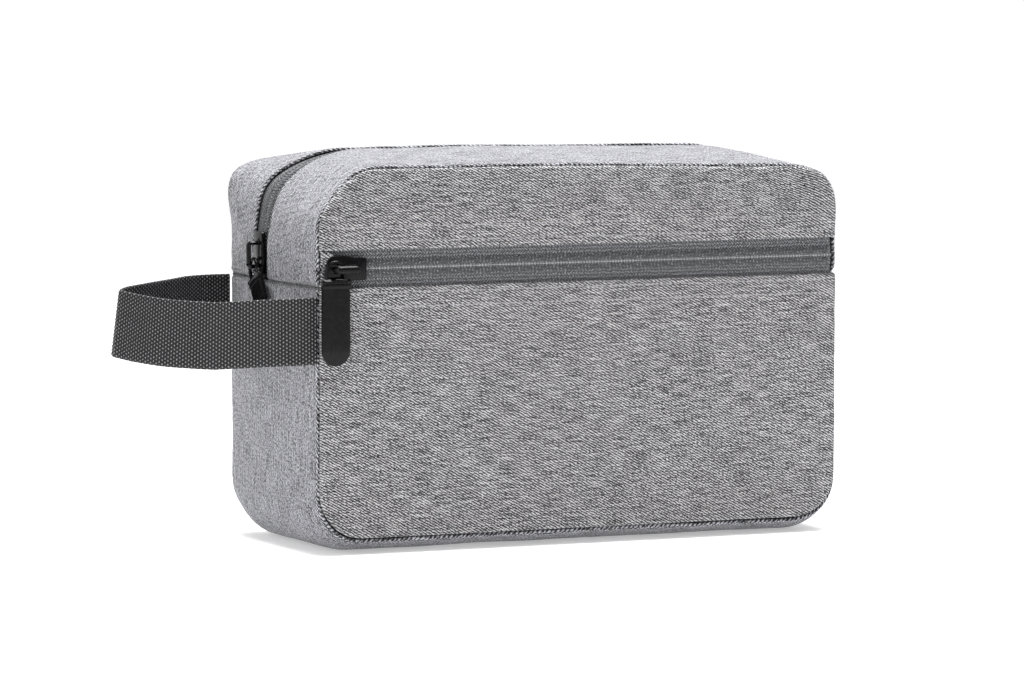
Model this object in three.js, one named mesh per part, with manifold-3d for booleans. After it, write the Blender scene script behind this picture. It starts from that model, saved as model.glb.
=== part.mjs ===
// Shaving kit bag: a boxy twill bag with a zip over its top, a zipped front
// pocket and a webbing hand loop on its left side.
// Millimetres. +X right, -Y front, +Z up. The origin is the middle of the base.
import * as THREE from "three";
import { mergeVertices } from "three/addons/utils/BufferGeometryUtils.js";
import Module from "manifold-3d";

const wasm = await Module();
wasm.setup();

// ---- Bag shell ----
const bagWidth = 216; // across the front panel, seam to seam
const bagDepth = 90; // front seam to back seam
const bagHeight = 149; // floor to the zip line on top
const topArch = 5; // rise of the zip line over the seams
const seamLift = 5; // front and back seams stand this far above the floor
const sideBulge = 2.5; // how far the sides swell at mid-depth
const panelCrown = 1.2; // how far the front and back swell
const topCornerRadius = 22; // at the front and back seams
const zipLineRadius = 39; // at the zip line
const zipSetback = 8; // main zip's middle, back from the bag's middle
const bottomCornerRadius = 18;
const restingShare = 0.6; // share of the depth that lies flat on the floor
const clothThickness = 1.4; // twill with its foam backing
const liningThickness = 0.8;
const gap = 0.3; // between sewn pieces

// ---- Zips ----
const tapeThickness = 0.6;
const tapeGap = 1.6; // between the two halves of a chain
const coilWidth = 2.5;
const coilThickness = 1.5;
const zipBand = 14; // visible width of a zip between its two fabric edges
const tapeHidden = 5; // tape sewn under each fabric edge
const pocketZipDrop = 37.5; // front seam top down to the middle of the pocket zip
const zipEndDrop = 44; // seam top down to the ends of the main zip
const stubDrop = 26; // seam top down to where the sides start to open
const pocketGap = 6; // room inside the flat front pocket

// ---- Sliders and pulls ----
const sliderLength = 16;
const sliderWidth = 10.4;
const plateThickness = 1.6;
const lowerPlateThickness = 1.2;
const plateClearance = 0.8; // slider plate to tape
const coilClearance = 0.4; // slider plate to coil
const neckThickness = 1;
const neckLength = 6;
const postPlace = -5.2; // bridge post, from the slider's middle towards its nose
const postRadius = 1; // half a post's length along the zip
const bridgeSpan = 9; // post to post
const bridgeWidth = 2.2;
const bridgeHeight = 5;
const bridgeBar = 1.2;
const ringHole = 2.6; // radius
const ringBand = 1.9;
const ringThickness = 1.5;
const ringLift = 1.7; // underside of the pull over the cloth
const tabWidth = 11.2;
const tabLength = 31;
const tabThickness = 1.8;
const mainPullTilt = 30; // degrees that the main pull hangs towards the front
const noseInset = 3; // pocket slider's nose, in from the left seam

// ---- Webbing hand loop ----
const webbingWidth = 25;
const webbingThickness = 1.8;
const webbingHeight = 82; // middle of the webbing over the floor
const loopReach = 60; // how far the loop stands out from the side
const stubLength = 6; // webbing next to the seam, which doesn't swing
const loopStart = 17; // where the swinging stretch starts, out from the side

// ---- Worked out from the above ----
const halfWidth = bagWidth / 2;
const halfDepth = bagDepth / 2;
const seamTop = bagHeight - topArch;
const pocketZipHeight = seamTop - pocketZipDrop;
const pocketEdgeLow = pocketZipHeight - zipBand / 2;
const pocketEdgeHigh = pocketZipHeight + zipBand / 2;
const zipEndHeight = seamTop - zipEndDrop;
const stubHeight = seamTop - stubDrop;
const panelBack = halfDepth - clothThickness; // inner face of a panel
const stripEdge = panelBack - gap; // a gusset's edge behind the panel
const tapeInset = clothThickness + gap;
const coilInset = tapeInset + tapeThickness + gap;
const tapeInner = tapeGap / 2;
const tapeOuter = zipBand / 2 + tapeHidden;
const bendRise = (sliderLength / 2) ** 2 / (2 * zipLineRadius); // of the zip under a straight slider
const sliderFloor = -(coilInset + coilThickness + bendRise + coilClearance);
const plateBottom = plateClearance - tapeInset;
const plateTop = plateBottom + plateThickness;
const postReach = Math.hypot(postRadius, bridgeWidth / 2);
const ringDrop = ringHole - postReach - gap; // ring's middle below the post
const ringReach = ringDrop + ringHole + ringBand;

const material = (name, color, roughness, metalness = 0) =>
  new THREE.MeshStandardMaterial({ name, color, roughness, metalness });
const twill = material("twill", 0x8d8e92, 0.9);
const tape = material("zip_tape", 0x37383b, 0.8);
const coil = material("zip_coil", 0x2b2c2f, 0.5);
const gloss = material("gloss_black", 0x0c0c0d, 0.2, 0.6);
const webbing = material("webbing", 0x1c1c1e, 0.75);
const lining = material("lining", 0x4a4b4f, 0.7);

const bag = new THREE.Group();

function piece(name, geometry, pieceMaterial, parent = bag) {
  const mesh = new THREE.Mesh(geometry, pieceMaterial);
  mesh.name = name;
  parent.add(mesh);
  return mesh;
}

const steps = (from, to, count) =>
  Array.from({ length: count + 1 }, (_, i) => from + ((to - from) * i) / count);

// ---- Booleans ----
function toManifold(geometry) {
  const bare = geometry.clone();
  bare.deleteAttribute("normal");
  bare.deleteAttribute("uv");
  const merged = mergeVertices(bare, 1e-4);
  return new wasm.Manifold(
    new wasm.Mesh({
      numProp: 3,
      vertProperties: new Float32Array(merged.attributes.position.array),
      triVerts: new Uint32Array(merged.index.array),
    }),
  );
}

function toGeometry(solid) {
  const mesh = solid.getMesh();
  const geometry = new THREE.BufferGeometry();
  geometry.setAttribute("position", new THREE.BufferAttribute(mesh.vertProperties, 3));
  geometry.setIndex(new THREE.BufferAttribute(mesh.triVerts, 1));
  geometry.computeVertexNormals();
  return geometry;
}

const join = (...parts) => toGeometry(parts.map(toManifold).reduce((a, b) => a.add(b)));
const cut = (whole, hole) => toGeometry(toManifold(whole).subtract(toManifold(hole)));

// ---- Cloth: closed sheets between an outer and an inner face ----
// outer(a, b) and inner(a, b) give points; a x b points out of the bag.
function sheetBetween(outer, inner, aValues, bValues) {
  const rows = aValues.length;
  const columns = bValues.length;
  const positions = [];
  for (const face of [outer, inner]) {
    for (const a of aValues) {
      for (const b of bValues) positions.push(...face(a, b).toArray());
    }
  }
  const index = [];
  const at = (layer, i, j) => (layer * rows + i) * columns + j;
  const quad = (p, q, r, s) => index.push(p, q, r, p, r, s);
  const lastRow = rows - 1;
  const lastColumn = columns - 1;
  for (let i = 0; i < lastRow; i++) {
    for (let j = 0; j < lastColumn; j++) {
      quad(at(0, i, j), at(0, i + 1, j), at(0, i + 1, j + 1), at(0, i, j + 1));
      quad(at(1, i, j), at(1, i, j + 1), at(1, i + 1, j + 1), at(1, i + 1, j));
    }
    quad(at(0, i, 0), at(1, i, 0), at(1, i + 1, 0), at(0, i + 1, 0));
    quad(at(0, i + 1, lastColumn), at(1, i + 1, lastColumn), at(1, i, lastColumn), at(0, i, lastColumn));
  }
  for (let j = 0; j < lastColumn; j++) {
    quad(at(0, 0, j + 1), at(1, 0, j + 1), at(1, 0, j), at(0, 0, j));
    quad(at(0, lastRow, j), at(1, lastRow, j), at(1, lastRow, j + 1), at(0, lastRow, j + 1));
  }
  const geometry = new THREE.BufferGeometry();
  geometry.setAttribute("position", new THREE.Float32BufferAttribute(positions, 3));
  geometry.setIndex(index);
  geometry.computeVertexNormals();
  return geometry;
}

// A sheet of even thickness, this far under a surface.
function sheetUnder(surface, aValues, bValues, inset, thickness) {
  const nudge = 1e-3;
  const normalAt = (a, b) => {
    const alongA = surface(a + nudge, b).sub(surface(a - nudge, b));
    const alongB = surface(a, b + nudge).sub(surface(a, b - nudge));
    return alongA.cross(alongB).normalize();
  };
  const moved = (depth) => (a, b) => surface(a, b).addScaledVector(normalAt(a, b), -depth);
  return sheetBetween(moved(inset), moved(inset + thickness), aValues, bValues);
}

// ---- The bag's outline at a depth y ----
function swell(y) {
  const reach = y < zipSetback ? halfDepth + zipSetback : halfDepth - zipSetback;
  return Math.max(0, 1 - ((y - zipSetback) / reach) ** 2);
}
const sideAt = (y) => halfWidth + sideBulge * swell(y);
const topAt = (y) => seamTop + topArch * swell(y);
const radiusAt = (y) => topCornerRadius + (zipLineRadius - topCornerRadius) * swell(y);

function bottomAt(y) {
  const past = (Math.abs(y) / halfDepth - restingShare) / (1 - restingShare);
  return seamLift * Math.max(0, past) ** 2;
}

// Half the outline's width at height z.
function widthAt(z, y) {
  const topRadius = radiusAt(y);
  const overTop = z - (topAt(y) - topRadius);
  const underBottom = bottomAt(y) + bottomCornerRadius - z;
  let fall = 0;
  if (overTop > 0) fall = topRadius - Math.sqrt(Math.max(0, topRadius ** 2 - overTop ** 2));
  if (underBottom > 0) {
    const rest = Math.max(0, bottomCornerRadius ** 2 - underBottom ** 2);
    fall = bottomCornerRadius - Math.sqrt(rest);
  }
  return sideAt(y) - fall;
}

// Route over the top, from the left side (0) to the right side (3) at height from.
function overTop(from) {
  return (t, y) => {
    const radius = radiusAt(y);
    const centre = topAt(y) - radius;
    const start = Math.asin(Math.max(-1, Math.min(1, (from - centre) / radius)));
    const flat = sideAt(y) - radius;
    if (t > 1 && t < 2) return new THREE.Vector3(flat * (2 * t - 3), y, topAt(y));
    const turned = t <= 1 ? t : 3 - t;
    const angle = start + (Math.PI / 2 - start) * turned;
    const side = t <= 1 ? -1 : 1;
    const reach = flat + radius * Math.cos(angle);
    return new THREE.Vector3(side * reach, y, centre + radius * Math.sin(angle));
  };
}

// Route round the base, from the right side (0) at height from to the left side (5).
function roundBase(from) {
  return (t, y) => {
    const radius = bottomCornerRadius;
    const bottom = bottomAt(y);
    const side = t <= 2.5 ? 1 : -1;
    const turned = t <= 2.5 ? t : 5 - t;
    const height = from + (bottom + radius - from) * Math.min(1, turned);
    if (turned <= 1) return new THREE.Vector3(side * sideAt(y), y, height);
    const flat = sideAt(y) - radius;
    if (turned >= 2) return new THREE.Vector3(flat * (5 - 2 * t), y, bottom);
    const angle = (Math.PI / 2) * (turned - 1);
    const reach = flat + radius * Math.cos(angle);
    return new THREE.Vector3(side * reach, y, bottom + radius * (1 - Math.sin(angle)));
  };
}

// Short upright stretch of one side, up to where the mouth starts to open.
// Its second value runs backwards on the left and forwards on the right.
const sideStretch = (side) => (z, across) =>
  new THREE.Vector3(side * widthAt(z, across), -side * across, z);

const routeOverTop = [...steps(0, 1, 8), ...steps(1.001, 1.999, 4), ...steps(2, 3, 8)];
const routeRoundBase = [0, 0.5, ...steps(1, 2, 5), ...steps(2.001, 2.999, 4), ...steps(3, 4, 5), 4.5, 5];
const flatHalf = restingShare * halfDepth;

// ---- Front and back panels, and the flat pocket behind the front ----
const bottomRows = steps(0, Math.PI / 2, 5)
  .map((angle) => seamLift + bottomCornerRadius * (1 - Math.cos(angle)));
const topRows = steps(0, Math.PI / 2, 7)
  .map((angle) => seamTop - topCornerRadius * (1 - Math.sin(angle)));

function panel(name, facing, rows) {
  const low = rows[0];
  const high = rows[rows.length - 1];
  const face = (depth) => (z, u) => {
    const share = (z - low) / (high - low);
    const crown = panelCrown * (1 - u * u) * Math.sin(Math.PI * share);
    const across = -facing * u * widthAt(z, halfDepth);
    return new THREE.Vector3(across, facing * (halfDepth + crown - depth), z);
  };
  const columns = steps(1, -1, 8);
  piece(name, sheetBetween(face(0), face(clothThickness), rows, columns), twill);
}

const frontTopRows = [pocketEdgeHigh, ...topRows];
const frontBottomRows = [...bottomRows, ...steps(bottomRows.at(-1), pocketEdgeLow, 4).slice(1)];
const backHinge = pocketEdgeHigh;
const backBottomRows = [...bottomRows, ...steps(bottomRows.at(-1), backHinge - gap, 4).slice(1)];
panel("front_lower_panel", -1, frontBottomRows);
panel("front_upper_panel", -1, frontTopRows);
panel("back_lower_panel", 1, backBottomRows);
panel("back_upper_panel", 1, [backHinge, ...topRows]);

// A flat box given by its two corners.
function block(low, high) {
  const size = high.map((value, i) => value - low[i]);
  const geometry = new THREE.BoxGeometry(...size);
  return geometry.translate(...low.map((value, i) => value + size[i] / 2));
}

const innerHalf = halfWidth - clothThickness - gap;
const tapeFace = -(panelBack - gap);
const pocketTapeSpan = innerHalf - gap;
const coilFace = tapeFace + tapeThickness + gap;
for (const [which, away] of [["lower", -1], ["upper", 1]]) {
  const near = pocketZipHeight + away * tapeInner;
  const far = pocketZipHeight + away * (zipBand / 2 + tapeHidden - 1);
  const coilFar = near + away * coilWidth;
  const [tapeLow, tapeHigh] = [near, far].sort((a, b) => a - b);
  const [coilLow, coilHigh] = [near, coilFar].sort((a, b) => a - b);
  piece(
    `pocket_zip_tape_${which}`,
    block([-pocketTapeSpan, tapeFace, tapeLow], [pocketTapeSpan, tapeFace + tapeThickness, tapeHigh]),
    tape,
  );
  piece(
    `pocket_zip_coil_${which}`,
    block([-pocketTapeSpan, coilFace, coilLow], [pocketTapeSpan, coilFace + coilThickness, coilHigh]),
    coil,
  );
}

// ---- Outline shapes in the XZ plane, drawn as X right and Y up ----
function outlineShape(inset, top) {
  const reach = halfWidth - inset;
  const bottom = seamLift + inset;
  const radius = bottomCornerRadius - inset;
  const shape = new THREE.Shape();
  shape.moveTo(-reach, top);
  shape.lineTo(-reach, bottom + radius);
  shape.absarc(-reach + radius, bottom + radius, radius, Math.PI, 1.5 * Math.PI);
  shape.absarc(reach - radius, bottom + radius, radius, 1.5 * Math.PI, 2 * Math.PI);
  shape.lineTo(reach, top);
  shape.closePath();
  return shape;
}

function archShape(inset, bottom) {
  const reach = halfWidth - inset;
  const top = seamTop - inset;
  const radius = (topCornerRadius + zipLineRadius) / 2 - inset;
  const start = Math.asin((bottom - (top - radius)) / radius);
  const shape = new THREE.Shape();
  shape.absarc(reach - radius, top - radius, radius, start, Math.PI / 2);
  shape.absarc(-reach + radius, top - radius, radius, Math.PI / 2, Math.PI - start);
  shape.closePath();
  return shape;
}

// Extrudes an XZ outline from the depth yFrom back to yTo.
function upright(shape, yFrom, yTo) {
  const options = { depth: yTo - yFrom, bevelEnabled: false, curveSegments: 6 };
  return new THREE.ExtrudeGeometry(shape, options).rotateX(Math.PI / 2).translate(0, yTo, 0);
}

// ---- Lining: a tray below the mouth, and a skin on each half of the mouth ----
const pocketBackFace = -(panelBack - pocketGap);
const linerFront = pocketBackFace + liningThickness + gap;
const linerBack = panelBack - gap;
const trayInset = clothThickness + 2 * gap;
const trayTop = zipEndHeight;
piece(
  "pocket_backing",
  upright(outlineShape(trayInset, stubHeight - gap), pocketBackFace, pocketBackFace + liningThickness),
  lining,
);
piece(
  "lining_lower",
  cut(
    upright(outlineShape(trayInset, trayTop), linerFront, linerBack),
    upright(
      outlineShape(trayInset + liningThickness, trayTop + 1),
      linerFront + liningThickness,
      linerBack - liningThickness,
    ),
  ),
  lining,
);

const skinInset = clothThickness + tapeThickness + 3 * gap;
const skinFace = panelBack - tapeThickness - 2 * gap;
const skinEdge = tapeOuter + 2;
for (const [which, facing] of [["front", -1], ["back", 1]]) {
  const span = (face, edge) => [facing * face, zipSetback + facing * edge].sort((a, b) => a - b);
  const [outerFrom, outerTo] = span(skinFace, skinEdge);
  const [innerFrom, innerTo] = span(skinFace - liningThickness, skinEdge - 1);
  piece(
    `lining_upper_${which}`,
    cut(
      upright(archShape(skinInset, stubHeight), outerFrom, outerTo),
      upright(archShape(skinInset + liningThickness, stubHeight - 1), innerFrom, innerTo),
    ),
    lining,
  );
}

// ---- Gusset: one strip round the base, and two strips beside the main zip ----
const baseDepths = [-stripEdge, -0.8 * halfDepth, -flatHalf, 0, flatHalf, 0.8 * halfDepth, stripEdge];
const base = roundBase(zipEndHeight - gap);
piece(
  "lower_gusset",
  sheetUnder(base, routeRoundBase, baseDepths, 0, clothThickness),
  twill,
);

// Every strip over the top runs in two parts: a mouth part, and a stub on each side below it.
const mouthRoute = overTop(stubHeight);
const stubRows = steps(zipEndHeight, stubHeight - gap, 4);
const mouthStrip = (from, to, inset, thickness) =>
  sheetUnder(mouthRoute, routeOverTop, steps(from, to, 3), inset, thickness);
const stubStrip = (side, from, to, inset, thickness) => {
  const depths = side < 0 ? steps(from, to, 3) : steps(-to, -from, 3);
  return sheetUnder(sideStretch(side), stubRows, depths, inset, thickness);
};
const sides = [["left", -1], ["right", 1]];

for (const [which, facing] of [["front", -1], ["back", 1]]) {
  const fromZip = (distance) => zipSetback + facing * distance;
  const span = (from, to) => [from, to].sort((a, b) => a - b);
  const strip = span(facing * stripEdge, fromZip(zipBand / 2));
  const tapeSpan = span(fromZip(tapeOuter), fromZip(tapeInner));
  const coilSpan = span(fromZip(tapeInner + coilWidth), fromZip(tapeInner));
  piece(`zip_gusset_${which}`, mouthStrip(...strip, 0, clothThickness), twill);
  piece(`main_zip_tape_${which}`, mouthStrip(...tapeSpan, tapeInset, tapeThickness), tape);
  piece(`main_zip_coil_${which}`, mouthStrip(...coilSpan, coilInset, coilThickness), coil);
  for (const [sideName, side] of sides) {
    piece(`zip_gusset_foot_${which}_${sideName}`, stubStrip(side, ...strip, 0, clothThickness), twill);
    piece(
      `main_zip_end_${which}_${sideName}`,
      stubStrip(side, ...tapeSpan, tapeInset, tapeThickness),
      tape,
    );
  }
}

// ---- Sliders. Local axes: X along the zip towards the tail, Y across, Z out of the cloth ----
function slabFrom(shape, bottom, thickness) {
  const options = { depth: thickness, bevelEnabled: false, curveSegments: 6 };
  return new THREE.ExtrudeGeometry(shape, options).translate(0, 0, bottom);
}

function roundedRectangle(x0, x1, halfY, noseRadius, tailRadius) {
  const shape = new THREE.Shape();
  shape.absarc(x0 + noseRadius, -halfY + noseRadius, noseRadius, Math.PI, 1.5 * Math.PI);
  shape.absarc(x1 - tailRadius, -halfY + tailRadius, tailRadius, 1.5 * Math.PI, 2 * Math.PI);
  shape.absarc(x1 - tailRadius, halfY - tailRadius, tailRadius, 0, Math.PI / 2);
  shape.absarc(x0 + noseRadius, halfY - noseRadius, noseRadius, Math.PI / 2, Math.PI);
  shape.closePath();
  return shape;
}

function sliderBody() {
  const half = sliderLength / 2;
  const plate = () => roundedRectangle(-half, half, sliderWidth / 2, 2.5, 4);
  const neckTop = plateBottom + plateThickness / 2;
  const neckBottom = sliderFloor - lowerPlateThickness / 2;
  return join(
    slabFrom(plate(), plateBottom, plateThickness),
    slabFrom(plate(), sliderFloor - lowerPlateThickness, lowerPlateThickness),
    block(
      [-half + 2, -neckThickness / 2, neckBottom],
      [-half + 2 + neckLength, neckThickness / 2, neckTop],
    ),
  );
}

function sliderBridge() {
  const foot = plateTop + gap;
  const left = postPlace - postRadius;
  const right = postPlace + bridgeSpan + postRadius;
  const crest = foot + bridgeHeight;
  const shape = new THREE.Shape();
  shape.moveTo(left, foot);
  shape.lineTo(left + 2 * postRadius, foot);
  shape.lineTo(left + 2 * postRadius, crest - bridgeBar);
  shape.lineTo(right - 2 * postRadius, crest - bridgeBar);
  shape.lineTo(right - 2 * postRadius, foot);
  shape.lineTo(right, foot);
  shape.absarc(right - 1.5, crest - 1.5, 1.5, 0, Math.PI / 2);
  shape.absarc(left + 1.5, crest - 1.5, 1.5, Math.PI / 2, Math.PI);
  shape.closePath();
  const options = { depth: bridgeWidth, bevelEnabled: false, curveSegments: 4 };
  return new THREE.ExtrudeGeometry(shape, options)
    .rotateX(Math.PI / 2)
    .translate(0, bridgeWidth / 2, 0);
}

// The pull hangs along -Y from the post, which is its origin.
function pullRing() {
  const shape = new THREE.Shape();
  shape.absarc(0, -ringDrop, ringHole + ringBand, 0, 2 * Math.PI);
  const hole = new THREE.Path();
  hole.absarc(0, -ringDrop, ringHole, 0, 2 * Math.PI, true);
  shape.holes.push(hole);
  return slabFrom(shape, ringLift, ringThickness);
}

function pullTab() {
  const top = ringReach + gap;
  const tab = roundedRectangle(top, top + tabLength, tabWidth / 2, 2, tabWidth / 2 - 0.1);
  return slabFrom(tab, ringLift, tabThickness).rotateZ(-Math.PI / 2);
}

function slider(name, along, across, outward, place, pullAngle) {
  const frame = new THREE.Group();
  frame.applyMatrix4(new THREE.Matrix4().makeBasis(along, across, outward));
  frame.position.copy(place);
  bag.add(frame);
  piece(`${name}_slider_body`, sliderBody(), gloss, frame);
  piece(`${name}_slider_bridge`, sliderBridge(), gloss, frame);
  const pull = new THREE.Group();
  pull.position.x = postPlace;
  pull.rotation.z = pullAngle;
  frame.add(pull);
  piece(`${name}_pull_ring`, pullRing(), gloss, pull);
  piece(`${name}_pull_tab`, pullTab(), gloss, pull);
}

const [right, back, up] = [[1, 0, 0], [0, 1, 0], [0, 0, 1]].map((v) => new THREE.Vector3(...v));
slider(
  "pocket", right, up, back.clone().negate(),
  new THREE.Vector3(-halfWidth + noseInset + sliderLength / 2, -halfDepth, pocketZipHeight), 0,
);
slider(
  "main", up, back, right.clone().negate(),
  new THREE.Vector3(-sideAt(zipSetback), zipSetback, topAt(zipSetback) - zipLineRadius),
  THREE.MathUtils.degToRad(mainPullTilt - 90),
);

// ---- Webbing hand loop ----
// The loop's middle line seen from above, from the front seam round to the back seam.
const loopTip = halfWidth + loopReach;
const loopHalf = halfDepth - webbingThickness / 2;
const loopLine = new THREE.CatmullRomCurve3([
  new THREE.Vector3(-halfWidth - loopStart, -loopHalf + 3.5, 0),
  new THREE.Vector3(-loopTip + 26, -0.64 * loopHalf, 0),
  new THREE.Vector3(-loopTip + 10, -0.26 * loopHalf, 0),
  new THREE.Vector3(-loopTip + 2, 0.07 * loopHalf, 0),
  new THREE.Vector3(-loopTip, 0.2 * loopHalf, 0),
  new THREE.Vector3(-loopTip + 3, 0.3 * loopHalf, 0),
  new THREE.Vector3(-loopTip + 13, 0.46 * loopHalf, 0),
  new THREE.Vector3(-loopTip + 28, 0.7 * loopHalf, 0),
  new THREE.Vector3(-halfWidth - loopStart, loopHalf - 3.5, 0),
], false, "centripetal");

function webbingAlong(curve, count) {
  const edge = (offset) => steps(0, 1, count).map((t) => {
    const tangent = curve.getTangentAt(t);
    const point = curve.getPointAt(t);
    return new THREE.Vector2(point.x + offset * tangent.y, point.y - offset * tangent.x);
  });
  const outline = [...edge(webbingThickness / 2), ...edge(-webbingThickness / 2).reverse()];
  const options = { depth: webbingWidth, bevelEnabled: false };
  return new THREE.ExtrudeGeometry(new THREE.Shape(outline), options)
    .translate(0, 0, webbingHeight - webbingWidth / 2);
}

piece("strap_loop", webbingAlong(loopLine, 30), webbing);
const seamGap = sideBulge * swell(panelBack - webbingThickness) + gap;
for (const [which, facing] of [["front", -1], ["back", 1]]) {
  const middle = facing * loopHalf;
  piece(
    `strap_end_${which}`,
    block(
      [-halfWidth - seamGap - stubLength, middle - webbingThickness / 2, webbingHeight - webbingWidth / 2],
      [-halfWidth - seamGap, middle + webbingThickness / 2, webbingHeight + webbingWidth / 2],
    ),
    webbing,
  );
}

export default bag;
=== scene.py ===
"""Shaving kit bag: the looks of the bag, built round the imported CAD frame.

Lengths are in millimetres until they become mesh vertices, which are in metres.
+X is the bag's right, -Y its front, +Z up, and the base stands on z = 0.
"""
import math

import bmesh
import bpy
import numpy as np
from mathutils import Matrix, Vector, noise


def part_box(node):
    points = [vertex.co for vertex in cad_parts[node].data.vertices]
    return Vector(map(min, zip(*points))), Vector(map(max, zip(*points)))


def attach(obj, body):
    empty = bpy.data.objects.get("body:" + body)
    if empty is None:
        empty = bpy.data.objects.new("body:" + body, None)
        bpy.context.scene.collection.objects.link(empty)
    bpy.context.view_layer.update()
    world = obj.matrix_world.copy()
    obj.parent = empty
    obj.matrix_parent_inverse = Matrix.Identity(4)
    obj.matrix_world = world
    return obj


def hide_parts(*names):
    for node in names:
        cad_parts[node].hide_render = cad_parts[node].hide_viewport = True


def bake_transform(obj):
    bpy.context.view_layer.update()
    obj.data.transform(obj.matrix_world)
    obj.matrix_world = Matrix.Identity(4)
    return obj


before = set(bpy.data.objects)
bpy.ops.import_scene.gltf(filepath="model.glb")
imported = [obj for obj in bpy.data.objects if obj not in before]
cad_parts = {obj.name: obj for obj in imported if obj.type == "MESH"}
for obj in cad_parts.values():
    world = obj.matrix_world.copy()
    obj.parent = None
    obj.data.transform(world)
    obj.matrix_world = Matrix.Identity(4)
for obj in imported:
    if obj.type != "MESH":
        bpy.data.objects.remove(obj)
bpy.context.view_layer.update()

MM = 0.001
UV_SCALE = 100  # millimetres of cloth to one unit of its uv
CLOTH = 1.4  # thickness of the CAD shell
GAP = 0.3  # between sewn CAD pieces


def box_mm(node):
    low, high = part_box(node)
    return np.array(low) / MM, np.array(high) / MM


# ---- Dimensions, from the frame ----
lower_low, lower_high = box_mm("front_lower_panel")
upper_low, upper_high = box_mm("front_upper_panel")
gusset_high = box_mm("lower_gusset")[1]
HALF_WIDTH = lower_high[0]
HALF_DEPTH = gusset_high[1] + CLOTH + GAP
SEAM_LOW = lower_low[2]
SEAM_TOP = upper_high[2]
POCKET_LOW = lower_high[2]
POCKET_HIGH = upper_low[2]
POCKET_MIDDLE = (POCKET_LOW + POCKET_HIGH) / 2
ZIP_END = gusset_high[2] + GAP
MOUTH_CUT = box_mm("zip_gusset_front")[0][2]
SIDE_BULGE = 2.5
ZIP_Y = float(np.mean([b[1] for b in box_mm("main_slider_body")]))  # main zip's middle
TOP_ARCH = 5.0
TOP_RADIUS = 22.0
ZIP_RADIUS = 39.0
BOTTOM_RADIUS = 18.0
REST_SHARE = 0.6
ZIP_HALF = 7.0  # half the visible width of a zip
TAPE_DEPTH = 1.7  # tape's face under the cloth's face
SEAM_ROLL = 1.3  # radius of a cloth edge that turns into a seam
PANEL_INSET = 0.7  # how far a panel's rolled edge stays inside the seam line
PANEL_LOW, PANEL_HIGH = SEAM_LOW + PANEL_INSET, SEAM_TOP - PANEL_INSET
PANEL_RADII = BOTTOM_RADIUS - PANEL_INSET, TOP_RADIUS - PANEL_INSET


# ---- The bag's outline, as in the CAD model ----
def swell(y):
    reach = np.where(y < ZIP_Y, HALF_DEPTH + ZIP_Y, HALF_DEPTH - ZIP_Y)
    return np.clip(1 - ((y - ZIP_Y) / reach) ** 2, 0, 1)


def side_at(y):
    return HALF_WIDTH + SIDE_BULGE * swell(y)


def top_at(y):
    return SEAM_TOP + TOP_ARCH * swell(y)


def radius_at(y):
    return TOP_RADIUS + (ZIP_RADIUS - TOP_RADIUS) * swell(y)


def bottom_at(y):
    past = (np.abs(y) / HALF_DEPTH - REST_SHARE) / (1 - REST_SHARE)
    return SEAM_LOW * np.clip(past, 0, 1) ** 2


def mirrored_route(left, flat, level, steps, y):
    """The left side's places, a level stretch, and the same places on the right."""
    across = [(flat * (2 * k / steps - 1), level) for k in range(steps + 1)]
    right = [(-x, z) for x, z in reversed(left)]
    return np.stack([np.stack([x + 0 * y, y, z + 0 * y], -1) for x, z in left + across + right])


def route_over_top(y, side_steps=12, arc_steps=44, top_steps=96):
    """Points from the left zip end over the top to the right one, at depths y."""
    y = np.asarray(y, float)
    radius, top, side = radius_at(y), top_at(y), side_at(y)
    centre = top - radius
    rows = [(-side, ZIP_END + (centre - ZIP_END) * (k / side_steps)) for k in range(side_steps)]
    for k in range(arc_steps):
        a = math.pi / 2 * k / arc_steps
        rows.append((-side + radius - radius * math.cos(a), centre + radius * math.sin(a)))
    return mirrored_route(rows, side - radius, top, top_steps, y)


def route_round_base(y, side_steps=52, arc_steps=22, bottom_steps=110):
    """Points from the left zip end down, under the base and up to the right one."""
    y = np.asarray(y, float)
    bottom, side = bottom_at(y), side_at(y)
    fall = bottom + BOTTOM_RADIUS - ZIP_END
    rows = [(-side, ZIP_END + fall * (k / side_steps)) for k in range(side_steps)]
    for k in range(arc_steps):
        a = math.pi / 2 * k / arc_steps
        rows.append((-side + BOTTOM_RADIUS * (1 - math.cos(a)),
                     bottom + BOTTOM_RADIUS * (1 - math.sin(a))))
    return mirrored_route(rows, side - BOTTOM_RADIUS, bottom, bottom_steps, y)


# ---- How the filled bag settles: every soft piece is moved by the same field ----
def smoothstep(value, start, end):
    t = np.clip((value - start) / (end - start), 0, 1)
    return t * t * (3 - 2 * t)


# Each: left or right, how far the corner is pushed out at the front seam and at the back seam.
CORNER_PUSH = ((-1, -2.3, 3.4), (1, 2.6, 2.6))
CORNER_SPREAD = 11.0
# Soft dents in the front wall: x and z of the middle, slope, half length, half height, depth.
FRONT_DENTS = (
    (-84, 90, -0.28, 26, 3.2, 0.75), (-78, 79, -0.12, 30, 3.6, 0.6), (-92, 68, 0.1, 20, 4.5, 0.5),
    (-80, 128, 0.25, 20, 3.4, 0.6), (88, 84, 0.15, 24, 4.0, 0.5), (20, 22, 0.03, 60, 7.0, 0.5),
    (-96, 30, 0.8, 14, 6.0, 0.5))
SAG, FRONT_SAG = 0.8, 1.8  # how far the right end of the top sinks, and how much more at the front
BACK_FLARE = 2.7  # how far the left side's top back corner stands out
SIDE_DENT = 0.9  # depth of the dent in the left side


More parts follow.
